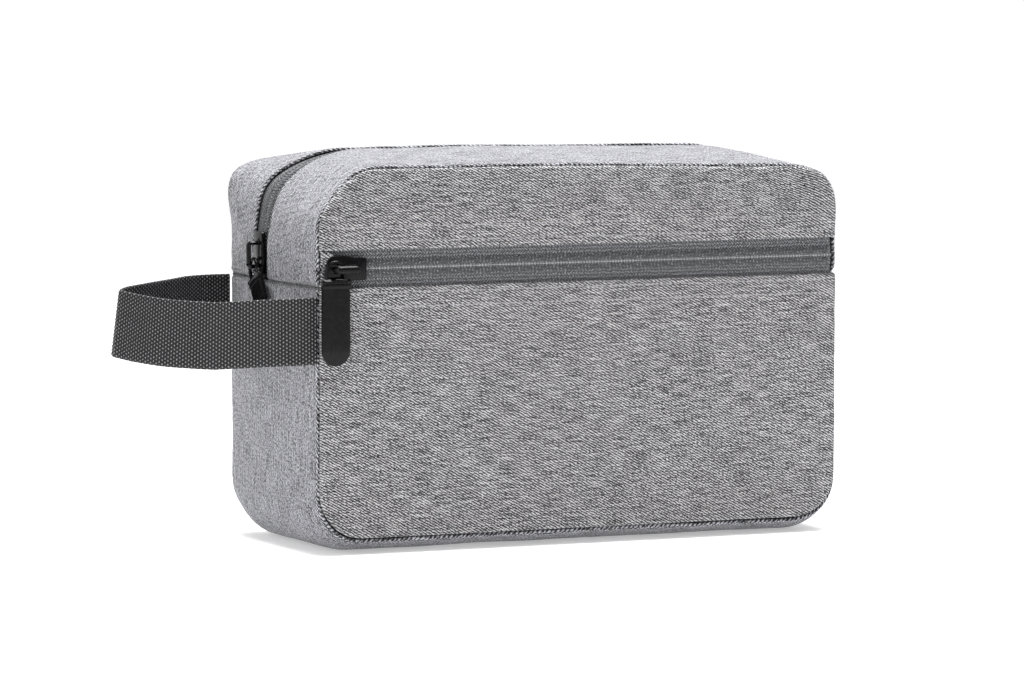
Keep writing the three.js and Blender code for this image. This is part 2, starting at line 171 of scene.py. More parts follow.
def settle(vertices):
    v = np.array(vertices, float)
    x, y, z = v[:, 0].copy(), v[:, 1].copy(), v[:, 2].copy()
    front = np.clip((HALF_DEPTH - y) / (2 * HALF_DEPTH), 0, 1)
    corner = TOP_RADIUS * (1 - math.sqrt(0.5))
    for side, push_front, push_back in CORNER_PUSH:
        away = np.hypot(x - side * (HALF_WIDTH - corner), z - (SEAM_TOP - corner))
        push = (push_front * front + push_back * (1 - front)) * np.exp(-(away / CORNER_SPREAD) ** 2)
        v[:, 0] += side * push * math.sqrt(0.5)
        v[:, 2] += push * math.sqrt(0.5)
    sag = smoothstep(x, -30, HALF_WIDTH) * smoothstep(z, MOUTH_CUT + 4, SEAM_TOP)
    v[:, 2] -= (SAG + FRONT_SAG * front) * sag
    flare = smoothstep(z, 117, 136) * smoothstep(y, -22, 20) * smoothstep(-x, 60, HALF_WIDTH - 4)
    v[:, 0] -= BACK_FLARE * flare
    on_front = smoothstep(-y, HALF_DEPTH - 9, HALF_DEPTH - 2)
    calm = smoothstep(np.abs(z - POCKET_MIDDLE), 7, 14)
    for dent_x, dent_z, slope, length, height, depth in FRONT_DENTS:
        off = z - dent_z - slope * (x - dent_x)
        fade = np.exp(-(off / height) ** 2 - ((x - dent_x) / length) ** 2)
        v[:, 1] += on_front * calm * depth * fade
    on_left = smoothstep(-x, HALF_WIDTH - 9, HALF_WIDTH - 2)
    away = np.hypot((y + 12) / 20, (z - 62) / 9)
    v[:, 0] += on_left * SIDE_DENT * np.exp(-away ** 2)
    return v


# ---- Mesh helpers ----
def new_object(name, vertices, faces, uvs=None, material=None, smooth=True, soft=True):
    """vertices in millimetres; uvs one per vertex. A soft piece follows the settled bag."""
    if soft:
        vertices = settle(vertices)
    mesh = bpy.data.meshes.new(name)
    mesh.from_pydata((np.asarray(vertices) * MM).tolist(), [], [tuple(f) for f in faces])
    if uvs is not None:
        layer = mesh.uv_layers.new(name="cloth")
        loops = np.zeros(len(mesh.loops), np.int32)
        mesh.loops.foreach_get("vertex_index", loops)
        layer.data.foreach_set("uv", np.asarray(uvs)[loops].astype(np.float32).ravel())
    if smooth:
        mesh.polygons.foreach_set("use_smooth", np.ones(len(mesh.polygons), bool))
    mesh.update()
    piece = bpy.data.objects.new(name, mesh)
    bpy.context.scene.collection.objects.link(piece)
    if material is not None:
        mesh.materials.append(material)
    return piece


def grid_normals(points):
    along = np.gradient(points, axis=0)
    across = np.gradient(points, axis=1)
    n = np.cross(along, across)
    return n / np.maximum(np.linalg.norm(n, axis=-1, keepdims=True), 1e-9)


def grid_faces(rows, columns, flip=False):
    i, j = np.meshgrid(np.arange(rows - 1), np.arange(columns - 1), indexing="ij")
    a = (i * columns + j).ravel()
    quads = np.stack([a, a + columns, a + columns + 1, a + 1], -1)
    return quads[:, ::-1] if flip else quads


def grid_rim(rows, columns):
    """Quads that join the edge of one grid to the edge of a second grid that follows it."""
    ring = ([(0, j) for j in range(columns)] + [(i, columns - 1) for i in range(1, rows)]
            + [(rows - 1, j) for j in range(columns - 2, -1, -1)]
            + [(i, 0) for i in range(rows - 2, 0, -1)])
    loop = np.array([i * columns + j for i, j in ring])
    following = np.roll(loop, -1)
    count = rows * columns
    return np.stack([loop, following, following + count, loop + count], -1)


def two_faced(name, outer, inner, uv, material, flip=False, soft=True):
    """A closed sheet given by both its faces, with its uv in millimetres."""
    rows, columns = outer.shape[:2]
    rim = grid_rim(rows, columns)
    faces = [grid_faces(rows, columns, flip),
             grid_faces(rows, columns, not flip) + rows * columns,
             rim[:, ::-1] if flip else rim]
    vertices = np.concatenate([outer.reshape(-1, 3), inner.reshape(-1, 3)])
    uvs = np.concatenate([uv.reshape(-1, 2)] * 2) / UV_SCALE
    return new_object(name, vertices, np.concatenate(faces), uvs, material, soft=soft)


def cloth_piece(name, points, uv, thickness, material, outward):
    """A closed sheet: points is the outer face, and outward is +1 or -1 times its grid normal."""
    inner = points - grid_normals(points) * outward * thickness
    return two_faced(name, points, inner, uv, material, outward < 0)


def lines_between(low, high, coarse, fine=0.35, edge=3.2):
    """Grid lines from low to high, close together near both ends."""
    near = np.arange(0, edge, fine)
    middle_count = max(2, int((high - low - 2 * edge) / coarse))
    middle = np.linspace(low + edge, high - edge, middle_count)
    return np.concatenate([low + near, middle, (high - near)[::-1]])


def soft_noise(points, scale, seed):
    """Smooth noise from -1 to 1 at each point, with features about scale mm across."""
    flat = points.reshape(-1, 3) / scale + np.array([seed * 17.3, seed * 5.1, -seed * 9.7])
    values = [noise.noise(Vector(p)) for p in flat]
    return np.array(values).reshape(points.shape[:-1])


def roll(distance, radius=SEAM_ROLL):
    """How far a turned edge falls at this distance from its seam."""
    inside = np.clip(radius - distance, 0, radius)
    return radius - np.sqrt(np.maximum(radius ** 2 - inside ** 2, 0))


def arc_length(points):
    steps = np.linalg.norm(np.diff(points, axis=0), axis=-1)
    return np.concatenate([np.zeros((1,) + steps.shape[1:]), np.cumsum(steps, 0)])


def resampled(values, lengths, where):
    """values, given at lengths along a path, read at other places on it."""
    return np.stack([np.interp(where, lengths, column) for column in values.T], -1)


def unit(vectors):
    return vectors / np.linalg.norm(vectors, axis=-1, keepdims=True)


# ---- Materials ----
def new_material(name, color, roughness, specular=0.5):
    material = bpy.data.materials.new(name)
    material.use_nodes = True
    shader = material.node_tree.nodes["Principled BSDF"]
    shader.inputs["Base Color"].default_value = (*color, 1)
    shader.inputs["Roughness"].default_value = roughness
    shader.inputs["Specular IOR Level"].default_value = specular
    return material, shader, Nodes(material.node_tree)


class Nodes:
    """Short calls for building a node tree."""

    def __init__(self, tree):
        self.tree = tree

    def add(self, kind, **settings):
        node = self.tree.nodes.new(kind)
        for key, value in settings.items():
            setattr(node, key, value)
        return node

    def link(self, source, target):
        self.tree.links.new(source, target)

    def math(self, operation, *values):
        node = self.add("ShaderNodeMath", operation=operation)
        for socket, value in zip(node.inputs, values):
            if isinstance(value, (int, float)):
                socket.default_value = value
            else:
                self.link(value, socket)
        return node.outputs[0]

    def plus(self, first, second):
        return self.math("ADD", first, second)

    def times(self, first, second):
        return self.math("MULTIPLY", first, second)

    def wave(self, value, period):
        return self.math("SINE", self.times(value, 2 * math.pi / period))

    def cloth_millimetres(self):
        """The cloth's own flat coordinates: X along the weft, Y along the warp."""
        uv = self.add("ShaderNodeUVMap", uv_map="cloth").outputs[0]
        scale = self.add("ShaderNodeVectorMath", operation="SCALE")
        self.link(uv, scale.inputs[0])
        scale.inputs["Scale"].default_value = UV_SCALE
        split = self.add("ShaderNodeSeparateXYZ")
        self.link(scale.outputs[0], split.inputs[0])
        return split.outputs[0], split.outputs[1]

    def noise(self, x, y, x_size, y_size, detail=2.0, rough=0.5):
        join = self.add("ShaderNodeCombineXYZ")
        self.link(self.math("DIVIDE", x, x_size), join.inputs[0])
        self.link(self.math("DIVIDE", y, y_size), join.inputs[1])
        texture = self.add("ShaderNodeTexNoise")
        texture.inputs["Scale"].default_value = 1
        texture.inputs["Detail"].default_value = detail
        texture.inputs["Roughness"].default_value = rough
        self.link(join.outputs[0], texture.inputs["Vector"])
        return texture.outputs[0]

    def grain(self, scale, detail):
        """Noise through the solid, from the object's own coordinates."""
        place = self.add("ShaderNodeTexCoord").outputs["Object"]
        texture = self.add("ShaderNodeTexNoise")
        texture.inputs["Scale"].default_value = scale
        texture.inputs["Detail"].default_value = detail
        self.link(place, texture.inputs["Vector"])
        return texture.outputs[0]

    def ramp(self, value, stops):
        node = self.add("ShaderNodeValToRGB")
        elements = node.color_ramp.elements
        while len(elements) < len(stops):
            elements.new(0.5)
        for element, (place, color) in zip(elements, stops):
            element.position = place
            element.color = (*color, 1)
        self.link(value, node.inputs[0])
        return node.outputs[0]

    def bump(self, height, shader, distance, strength=1.0):
        node = self.add("ShaderNodeBump")
        node.inputs["Distance"].default_value = distance * MM
        node.inputs["Strength"].default_value = strength
        self.link(height, node.inputs["Height"])
        self.link(node.outputs[0], shader.inputs["Normal"])


def make_twill(name, tint=(1.0, 1.0, 1.03)):
    """Grey heathered twill: fine slanting ribs broken by light and dark yarns along the weft."""
    material, shader, n = new_material(name, (0.3, 0.3, 0.3), 0.92, specular=0.2)
    shader.inputs["Sheen Weight"].default_value = 0.15
    shader.inputs["Sheen Roughness"].default_value = 0.5
    x, y = n.cloth_millimetres()
    rib = n.plus(n.times(x, 0.52), n.times(y, 0.98))
    wobble = n.times(n.noise(x, y, 6, 1.6), 0.7)
    rib_wave = n.wave(n.plus(rib, wobble), 1)
    warp_wave = n.wave(x, 1.15)
    weft_wave = n.wave(y, 0.95)
    weave = n.plus(n.times(rib_wave, 0.75), n.times(n.times(warp_wave, weft_wave), 0.45))
    slub = n.noise(x, y, 9.0, 0.5, detail=3.0, rough=0.7)
    speck = n.noise(x, y, 0.8, 0.55, detail=1.0)
    cloud = n.noise(x, y, 26, 9)
    tone = n.plus(n.times(weave, 0.30), n.times(slub, 1.25))
    tone = n.plus(tone, n.times(speck, 1.0))
    tone = n.plus(tone, n.times(cloud, 0.12))
    tone = n.math("SUBTRACT", tone, 0.685)
    dark, mid, light = 0.007, 0.100, 0.60
    stops = [(place, tuple(shade * c for c in tint))
             for place, shade in ((0.2, dark), (0.5, mid), (0.8, light))]
    n.link(n.ramp(tone, stops), shader.inputs["Base Color"])
    n.bump(n.plus(n.times(weave, 0.5), n.times(speck, 0.6)), shader, 0.10, 0.6)
    return material


def make_tape(name):
    """Charcoal zip tape: fine ribs across, with a slightly lighter knitted ground."""
    material, shader, n = new_material(name, (0.06, 0.06, 0.065), 0.78, specular=0.25)
    x, y = n.cloth_millimetres()
    zigzag = n.math("PINGPONG", y, 1.3)
    rib = n.wave(n.plus(x, n.times(zigzag, 1.1)), 1.2)
    row = n.wave(y, 1.3)
    weave = n.plus(n.times(rib, 0.7), n.times(row, 0.3))
    fuzz = n.noise(x, y, 0.8, 0.6)
    tone = n.plus(n.times(weave, 0.24), n.times(fuzz, 1.1))
    tone = n.math("SUBTRACT", tone, 0.05)
    stops = [(0.15, (0.012, 0.012, 0.014)), (0.5, (0.085, 0.087, 0.094)),
             (0.85, (0.34, 0.345, 0.36))]
    n.link(n.ramp(tone, stops), shader.inputs["Base Color"])
    n.bump(n.plus(weave, fuzz), shader, 0.08, 0.6)
    return material


def make_plain(name, color, roughness, specular=0.5, grain=0.35, size=0.8):
    """A moulded or drawn surface with a faint grain in its tone and roughness."""
    material, shader, n = new_material(name, color, roughness, specular)
    texture = n.grain(1 / (size * MM), 3)
    low = tuple(c * (1 - grain) for c in color)
    high = tuple(c * (1 + grain) for c in color)
    n.link(n.ramp(texture, [(0.3, low), (0.7, high)]), shader.inputs["Base Color"])
    rough_low, rough_high = roughness * 0.8, min(1.0, roughness * 1.25)
    rough = n.ramp(texture, [(0.3, (rough_low,) * 3), (0.7, (rough_high,) * 3)])
    n.link(rough, shader.inputs["Roughness"])
    return material


def make_gloss(name):
    """Black enamel over cast metal: a clear gloss with a faint orange peel."""
    material, shader, n = new_material(name, (0.0035, 0.0035, 0.004), 0.14, specular=0.15)
    texture = n.grain(900, 2)
    stops = [(0.35, (0.002, 0.002, 0.0023)), (0.7, (0.006, 0.006, 0.0067))]
    n.link(n.ramp(texture, stops), shader.inputs["Base Color"])
    rough = n.ramp(texture, [(0.3, (0.12,) * 3), (0.75, (0.22,) * 3)])
    n.link(rough, shader.inputs["Roughness"])
    n.bump(texture, shader, 0.02, 0.25)
    return material


def make_webbing(name):
    """Black yarn floats, with painted shade in the hollows between them and a painted highlight on
    their crests; the same rows as webbing_relief.
    """
    material, shader, n = new_material(name, (0.02, 0.02, 0.021), 0.5, specular=0.35)
    x, y = n.cloth_millimetres()
    column = n.math("DIVIDE", x, YARN_COLUMN)
    index = n.math("FLOOR", column)
    inside = n.math("SUBTRACT", column, index)
    odd = n.math("PINGPONG", index, 1)
    from_middle = n.math("SUBTRACT", inside, 0.5)
    lean = n.times(from_middle, n.math("MULTIPLY_ADD", odd, -2 * YARN_LEAN, YARN_LEAN))
    phase = n.plus(n.math("DIVIDE", y, YARN_ROW), n.plus(n.times(odd, 0.5), lean))
    body = n.math("SINE", n.times(inside, math.pi))
    bead = n.math("ABSOLUTE", n.math("SINE", n.times(phase, math.pi)))
    fuzz = n.noise(x, y, 0.9, 0.25)
    # tone is high on a float's crest and low in the hollows. Its near-black stop is painted shade
    # in the hollows, and its pale grey stop is a painted highlight on the crests.
    tone = n.plus(n.times(body, bead), n.times(n.math("SUBTRACT", fuzz, 0.5), 0.5))
    stops = [(0.35, (0.0012, 0.0012, 0.0015)), (0.72, (0.022, 0.022, 0.024)),
             (1.0, (0.30, 0.30, 0.31))]
    n.link(n.ramp(tone, stops), shader.inputs["Base Color"])
    n.bump(fuzz, shader, 0.06, 0.5)
    return material


YARN_COLUMN = 1.2  # webbing yarn floats: length along the webbing
YARN_ROW = 1.45  # and spacing across it
YARN_LEAN = 0.28  # slant of a float
TWILL_FRONT = make_twill("twill_front")
TWILL_GUSSET = make_twill("twill_gusset", tint=(0.985, 0.985, 1.06))
TAPE = make_tape("zip_tape")
COIL = make_plain("zip_coil", (0.045, 0.046, 0.05), 0.42, specular=0.5)
THREAD = make_plain("thread", (0.32, 0.32, 0.335), 0.75, specular=0.3, grain=0.4)
GLOSS = make_gloss("gloss_black")
WEBBING = make_webbing("webbing")
LINING = make_plain("lining", (0.055, 0.056, 0.062), 0.62, specular=0.35, grain=0.3, size=1.5)


# ---- Front and back walls ----
FOLD = 0.8  # radius of a cloth edge folded under at a zip
WALL = 0.8  # thickness shown at a cut edge
CROWN = 1.1  # how far a wall swells at its middle
PUCKER = 0.22  # height of the puckers along a seam
STITCH_ROWS_ABOVE = (3.0, 8.0)  # over the pocket zip's upper edge
STITCH_ROWS_BELOW = (2.0, 7.5)  # under its lower edge


def wall_width(z):
    """Half the width of a wall at height z, out to its rolled edge."""
    bottom, top = PANEL_RADII
    under = np.clip(PANEL_LOW + bottom - z, 0, bottom)
    over = np.clip(z - (PANEL_HIGH - top), 0, top)
    fall = bottom - np.sqrt(bottom ** 2 - under ** 2) + top - np.sqrt(top ** 2 - over ** 2)
    return HALF_WIDTH - PANEL_INSET - fall


def seam_distance(x, z):
    """Distance inwards from the rolled edge of a wall."""
    half = (PANEL_HIGH - PANEL_LOW) / 2
    middle = (PANEL_HIGH + PANEL_LOW) / 2
    radius = np.where(z > middle, TOP_RADIUS, BOTTOM_RADIUS) - PANEL_INSET
    qx = np.abs(x) - (HALF_WIDTH - PANEL_INSET - radius)
    qz = np.abs(z - middle) - (half - radius)
    outside = np.hypot(np.maximum(qx, 0), np.maximum(qz, 0))
    return radius - outside - np.minimum(np.maximum(qx, qz), 0)


def wall_rows(low_edge, high_edge):
    """Row heights: by angle round the corners, close together at a straight edge."""
    rows = []
    if low_edge is None:
        angles = np.linspace(0, math.pi / 2, 30)
        rows.append(PANEL_LOW + PANEL_RADII[0] * (1 - np.cos(angles)))
        start = rows[0][-1] + 1.5
    else:
        rows.append(low_edge + np.arange(0, 3.2, 0.3))
        start = low_edge + 3.5
    if high_edge is None:
        angles = np.linspace(math.pi / 2, 0, 40)
        top = PANEL_HIGH - PANEL_RADII[1] * (1 - np.cos(angles))
        stop = top[0] - 1.5
    else:
        top = high_edge - np.arange(0, 3.2, 0.3)[::-1]
        stop = high_edge - 3.5
    if stop > start:
        rows.append(np.arange(start, stop, 1.3))
    rows.append(top)
    return np.unique(np.round(np.concatenate(rows), 4))


def wall_points(facing, low_edge, high_edge, stitch_heights, seed):
    rows = wall_rows(low_edge, high_edge)
    u = lines_between(-1, 1, 1.4 / HALF_WIDTH, fine=0.3 / HALF_WIDTH, edge=3.2 / HALF_WIDTH)
    z, across = np.meshgrid(rows, u, indexing="ij")
    x = across * wall_width(z)
    flat = np.stack([x, 0 * x, z], -1)
    edge = seam_distance(x, z)
    low = SEAM_LOW if low_edge is None else low_edge
    high = SEAM_TOP if high_edge is None else high_edge
    share = np.clip((z - low) / (high - low), 0, 1)
    out = CROWN * (1 - across ** 2) * np.sin(math.pi * share) + 0.35 * (1 - np.exp(-edge / 5))
    out += 0.42 * soft_noise(flat * np.array([1, 1, 1.6]), 46, seed)
    out += 0.16 * soft_noise(flat, 15, seed + 1)
    along = soft_noise(flat, 5.5, seed + 2)
    out += PUCKER * along * np.exp(-edge / 5)
    for height in stitch_heights:
        near = np.exp(-((z - height) / 0.8) ** 2)
        out -= (0.20 + 0.10 * soft_noise(flat, 3.2, seed + 3)) * near
        out += 0.10 * soft_noise(flat, 7, seed + 4) * np.exp(-((z - height) / 4) ** 2)
    out -= roll(edge)
    if low_edge is not None:
        out -= roll(z - low_edge, FOLD)
    if high_edge is not None:
        out -= roll(high_edge - z, FOLD)
    y = facing * (HALF_DEPTH + out)
    return np.stack([x, y, z], -1)


def wall(name, facing, low_edge, high_edge, stitch_heights, seed):
    points = wall_points(facing, low_edge, high_edge, stitch_heights, seed)
    uv = points[..., [0, 2]] * np.array([-facing, 1])
    piece = cloth_piece(name, points, uv, WALL, TWILL_FRONT, facing)
    return piece, points


above = [POCKET_HIGH + d for d in STITCH_ROWS_ABOVE]
below = [POCKET_LOW - d for d in STITCH_ROWS_BELOW]
front_lower, front_lower_points = wall("front_wall_lower", -1, None, POCKET_LOW, below, 3)
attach(front_lower, "root")
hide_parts("front_lower_panel")
front_upper, front_upper_points = wall("front_wall_upper", -1, POCKET_HIGH, None, above, 8)
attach(front_upper, "front_mouth")
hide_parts("front_upper_panel")
back_wall, _ = wall("back_wall", 1, None, None, [], 13)
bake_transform(back_wall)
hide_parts("back_lower_panel", "back_upper_panel")


# ---- Gusset: one strip round the base, two beside the main zip ----
SEAM_PLANE = HALF_DEPTH - SEAM_ROLL - GAP  # where a gusset's edge turns in


def gusset_fall(points, seam_edges, seed):
    """Rolls and puckers at the seams, and soft swells elsewhere."""
    out = 0.40 * soft_noise(points, 34, seed) + 0.16 * soft_noise(points, 12, seed + 1)
    pucker = soft_noise(points, 5.0, seed + 2)
    for distance in seam_edges:
        out = out - roll(distance) + PUCKER * pucker * np.exp(-distance / 5)
    return out


def strip(name, route, y_lines, folded_edge, material, outward, seed):
    y = np.asarray(y_lines)
    points = route(y)
    normals = grid_normals(points) * outward
    along = arc_length(points)
    ends = np.minimum(along, along[-1] - along)
    distance = [SEAM_PLANE - np.abs(points[..., 1]), ends]
    out = gusset_fall(points, distance, seed)
    if folded_edge is not None:
        from_fold = np.abs(points[..., 1] - folded_edge)
        out -= roll(from_fold, FOLD)
        out -= 0.18 * np.exp(-((from_fold - STITCH_ROWS_BELOW[0]) / 0.7) ** 2)
    moved = points + normals * out[..., None]
    uv = np.stack([along, points[..., 1]], -1)
    piece = cloth_piece(name, moved, uv, WALL, material, outward)
    return piece, moved, normals


base_lines = lines_between(-SEAM_PLANE, SEAM_PLANE, 1.6)
gusset_base, _, _ = strip("gusset_base", route_round_base, base_lines, None, TWILL_GUSSET, -1, 21)
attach(gusset_base, "root")
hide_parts("lower_gusset")

mouth_sides = {}
for which, facing, seed in (("front", -1, 31), ("back", 1, 41)):
    outer, inner = facing * SEAM_PLANE, ZIP_Y + facing * ZIP_HALF
    lines = lines_between(min(outer, inner), max(outer, inner), 1.5)
    gusset, gusset_points, gusset_normals = strip(
        f"gusset_{which}", route_over_top, lines, inner, TWILL_GUSSET, 1, seed)
    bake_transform(gusset)
    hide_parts(f"zip_gusset_{which}", f"zip_gusset_foot_{which}_left",
                f"zip_gusset_foot_{which}_right")
    mouth_sides[which] = (gusset_points, gusset_normals, lines)


# ---- Small repeated pieces: stitches and coil turns ----
def capsules(name, centres, directions, normals, length, radius, material, flat=0.8):
    """Short rounded bars, each lying along its direction on a surface."""
    rings = ((-0.5, 0.0), (-0.46, 0.62), (-0.34, 1.0), (0.0, 1.08), (0.34, 1.0), (0.46, 0.62),
             (0.5, 0.0))
    sides = 7
    vertices, faces = [], []
    for centre, direction, normal in zip(centres, directions, normals):
        along = direction / np.linalg.norm(direction)
        side = np.cross(normal, along)
        side /= np.linalg.norm(side)
        up = np.cross(along, side)
        start = len(vertices)
        vertices.append(centre + along * rings[0][0] * length)
        for place, size in rings[1:-1]:
            for k in range(sides):
                a = 2 * math.pi * k / sides
                offset = side * math.cos(a) + up * math.sin(a) * flat
                vertices.append(centre + along * place * length + offset * radius * size)
        vertices.append(centre + along * rings[-1][0] * length)
        last = len(vertices) - 1
        count = len(rings) - 2
        for k in range(sides):
            following = (k + 1) % sides
            faces.append((start, start + 1 + following, start + 1 + k))
            for r in range(count - 1):
                a = start + 1 + r * sides
                faces.append((a + k, a + following, a + sides + following, a + sides + k))
            a = start + 1 + (count - 1) * sides
            faces.append((a + k, a + following, last))
    return new_object(name, vertices, faces, None, material)


def row_along(path, normals, pitch, offset=0.0):
    """Evenly spaced places on a path, with the path's direction and normal there."""
    lengths = arc_length(path)
    places = np.arange(pitch / 2, lengths[-1] - pitch / 2, pitch)
    centres = resampled(path, lengths, places)
    normal = unit(resampled(normals, lengths, places))
    directions = resampled(path, lengths, places + 0.2) - resampled(path, lengths, places - 0.2)
    return centres + normal * offset, directions, normal


STITCH_PITCH = 3.1
STITCH_LENGTH = 2.5
STITCH_RADIUS = 0.28
STITCH_RISE = 0.05  # a stitch's middle over the cloth


def wall_stitches(name, points, height, body):
    row = int(np.argmin(np.abs(points[:, 0, 2] - height)))
    path = points[row]
    keep = np.abs(path[:, 0]) < HALF_WIDTH - 2.5
    normals = grid_normals(points)[row] * -1
    centres, directions, normal = row_along(path[keep], normals[keep], STITCH_PITCH, STITCH_RISE)
    piece = capsules(name, centres, directions, normal, STITCH_LENGTH, STITCH_RADIUS, THREAD)
    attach(piece, body)


for number, height in enumerate(above):
    wall_stitches(f"stitches_above_zip_{number}", front_upper_points, height, "front_mouth")
for number, height in enumerate(below):
    wall_stitches(f"stitches_below_zip_{number}", front_lower_points, height, "root")

for which, (points, normals, lines) in mouth_sides.items():
    facing = -1 if which == "front" else 1
    column = int(np.argmin(np.abs(lines - ZIP_Y - facing * (ZIP_HALF + STITCH_ROWS_BELOW[0]))))
    centres, directions, normal = row_along(
        points[:, column], normals[:, column], STITCH_PITCH, STITCH_RISE)
    piece = capsules(f"stitches_{which}_gusset", centres, directions, normal,
                     STITCH_LENGTH, STITCH_RADIUS, THREAD)
    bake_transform(piece)


# ---- Zips ----
TAPE_WALL = 0.6
COIL_PITCH = 1.45
COIL_REACH = (0.66, 3.2)  # a coil turn's inner and outer end, from the zip's middle
COIL_RADIUS = 0.46
TAPE_LINES = np.array([0.12, 0.3, 0.6, 1.2, 1.9, 2.6, 3.3, 4.0, 5, 6, 7.5, 9, 11])


def chain_swell(distance):
    """The tape stands up over the coil, and dips at the zip's middle and beside the coil."""
    over = np.clip((3.6 - distance) / 0.9, 0, 1)
    dip = np.exp(-(distance / 0.3) ** 2)
    return 0.45 * over * over * (3 - 2 * over) - 0.55 * dip


def tape_piece(name, points, normals, distance, along, outward):
    face = points + normals * (chain_swell(distance) - TAPE_DEPTH)[..., None]
    uv = np.stack([along, distance], -1)
    piece = cloth_piece(name, face, uv, TAPE_WALL, TAPE, outward)
    return piece


def turns_piece(name, path, normals, away):
    """The coil's turns as they press through the tape, on one side of the zip."""
    centres, directions, normal = row_along(path, normals, COIL_PITCH)
    reach = (COIL_REACH[0] + COIL_REACH[1]) / 2
    across = unit(np.cross(normal, directions))
    across *= np.sign(across @ away)[:, None]
    middle = centres + across * reach - normal * (TAPE_DEPTH - 0.42)
    slanted = across + 0.22 * directions / np.linalg.norm(directions, axis=1, keepdims=True)
    piece = capsules(name, middle, slanted, normal, COIL_REACH[1] - COIL_REACH[0],
                     COIL_RADIUS, COIL, flat=0.55)
    return piece


POCKET_END = HALF_WIDTH - 2.2  # the pocket zip's visible half length
for which, away in (("lower", -1), ("upper", 1)):
    x = np.arange(-POCKET_END, POCKET_END + 0.1, 1.2)
    distance = TAPE_LINES if away > 0 else TAPE_LINES[::-1]
    grid_x, grid_d = np.meshgrid(x, distance, indexing="ij")
    points = np.stack([grid_x, 0 * grid_x - HALF_DEPTH, POCKET_MIDDLE + away * grid_d], -1)
    normals = np.broadcast_to(np.array([0.0, -1.0, 0.0]), points.shape)
    piece = tape_piece(f"pocket_tape_{which}", points, normals, grid_d, grid_x, 1)
    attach(piece, "root")
    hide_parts(f"pocket_zip_tape_{which}")
    path = np.stack([x, 0 * x - HALF_DEPTH, 0 * x + POCKET_MIDDLE], -1)
    turns = turns_piece(f"pocket_coil_{which}", path, normals[:, 0], np.array([0, 0, away]))
    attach(turns, "root")
    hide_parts(f"pocket_zip_coil_{which}")

# Light grey beads in the thread colour along the pocket zip's middle: a painted highlight standing
# for the light on the gap between the zip's two halves.
line_x = np.arange(-POCKET_END, POCKET_END, 1.2)
centres = np.stack([line_x, 0 * line_x - HALF_DEPTH + TAPE_DEPTH - 0.28,
                    0 * line_x + POCKET_MIDDLE], -1)
zip_middle_highlight = capsules("pocket_zip_middle_highlight", centres, np.tile([1.0, 0, 0], (len(centres), 1)),
                       np.tile([0.0, -1, 0], (len(centres), 1)), 1.1, 0.26, THREAD)
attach(zip_middle_highlight, "root")

for which, facing in (("front", -1), ("back", 1)):
    distance = TAPE_LINES if facing > 0 else TAPE_LINES[::-1]
    y = ZIP_Y + facing * distance
    points = route_over_top(y)
    normals = grid_normals(points)
    along = arc_length(points)
    grid_d = np.broadcast_to(distance, along.shape)
    piece = tape_piece(f"main_tape_{which}", points, normals, grid_d, along, 1)
    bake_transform(piece)
    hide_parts(f"main_zip_tape_{which}", f"main_zip_end_{which}_left",
                f"main_zip_end_{which}_right")
    middle = route_over_top(ZIP_Y + np.array([-0.01, 0.0, 0.01]))
    turns = turns_piece(f"main_coil_{which}", middle[:, 1], grid_normals(middle)[:, 1],
                        np.array([0, facing, 0]))
    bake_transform(turns)
    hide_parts(f"main_zip_coil_{which}")


# ---- Sliders and pulls: X along the zip to the tail, Y across it, Z out of the cloth ----
PLATE_TOP = 0.7  # slider plate's face over the cloth
PLATE_THICK = 1.6
LOWER_PLATE = (-6.5, -5.3)
POST_X = -5.2
BRIDGE_SPAN = 9.0
BRIDGE_CREST = 5.2
HINGE_DROP = 4.36  # from the bridge post to the ring's lower bar
PULL_LEVEL = 2.55  # middle of the ring over the cloth
TAB_WIDTH = 11.2
TAB_LENGTH = 31.0
TAB_TOP = 5.2  # tab's flat part starts this far below the post
RING_RADIUS = 3.75
MAIN_TILT = 30.0


def frame_matrix(along, across, out, origin):
    matrix = np.eye(4)
    matrix[:3, :3] = np.stack([along, across, out], 1)
    matrix[:3, 3] = origin
    return matrix


def turned_matrix(matrix, x, degrees):
    """The frame of a pull that hangs from a post at local x, turned about the post."""
    a = math.radians(degrees)
    turn = np.array([[math.cos(a), -math.sin(a), 0, x], [math.sin(a), math.cos(a), 0, 0],
                     [0, 0, 1, 0], [0, 0, 0, 1]])
    return matrix @ turn


def bevelled(name, vertices, faces, matrix, width, material, segments=3, angle=25):
    """A solid with rounded edges; vertices are local millimetres."""
    vertices = np.asarray(vertices) @ matrix[:3, :3].T + matrix[:3, 3]
    piece = new_object(name, vertices, faces, None, material, smooth=False, soft=False)
    mesh = bmesh.new()
    mesh.from_mesh(piece.data)
    bmesh.ops.recalc_face_normals(mesh, faces=mesh.faces)
    mesh.to_mesh(piece.data)
    mesh.free()
    modifier = piece.modifiers.new("edges", "BEVEL")
    modifier.width = width * MM
    modifier.segments = segments
    modifier.limit_method = "ANGLE"
    modifier.angle_limit = math.radians(angle)
    depsgraph = bpy.context.evaluated_depsgraph_get()
    done = bpy.data.meshes.new_from_object(piece.evaluated_get(depsgraph))
    piece.modifiers.clear()
    piece.data = done
    done.polygons.foreach_set("use_smooth", np.ones(len(done.polygons), bool))
    done.set_sharp_from_angle(angle=math.radians(40))
    return piece


def prism(outline, low, high):
    """Vertices and faces of an outline extruded along local Z."""
    count = len(outline)
    vertices = [(x, y, low) for x, y in outline] + [(x, y, high) for x, y in outline]
    faces = [tuple(range(count))[::-1], tuple(range(count, 2 * count))]
    faces += [(k, (k + 1) % count, (k + 1) % count + count, k + count) for k in range(count)]
    return vertices, faces


def merged(*solids):
    vertices, faces = [], []
    for part_vertices, part_faces in solids:
        start = len(vertices)
        vertices += list(part_vertices)
        faces += [tuple(i + start for i in f) for f in part_faces]
    return vertices, faces


def arc(cx, cy, radius, start, end, count):
    angles = np.radians(np.linspace(start, end, count))
    return [(cx + radius * math.cos(a), cy + radius * math.sin(a)) for a in angles]


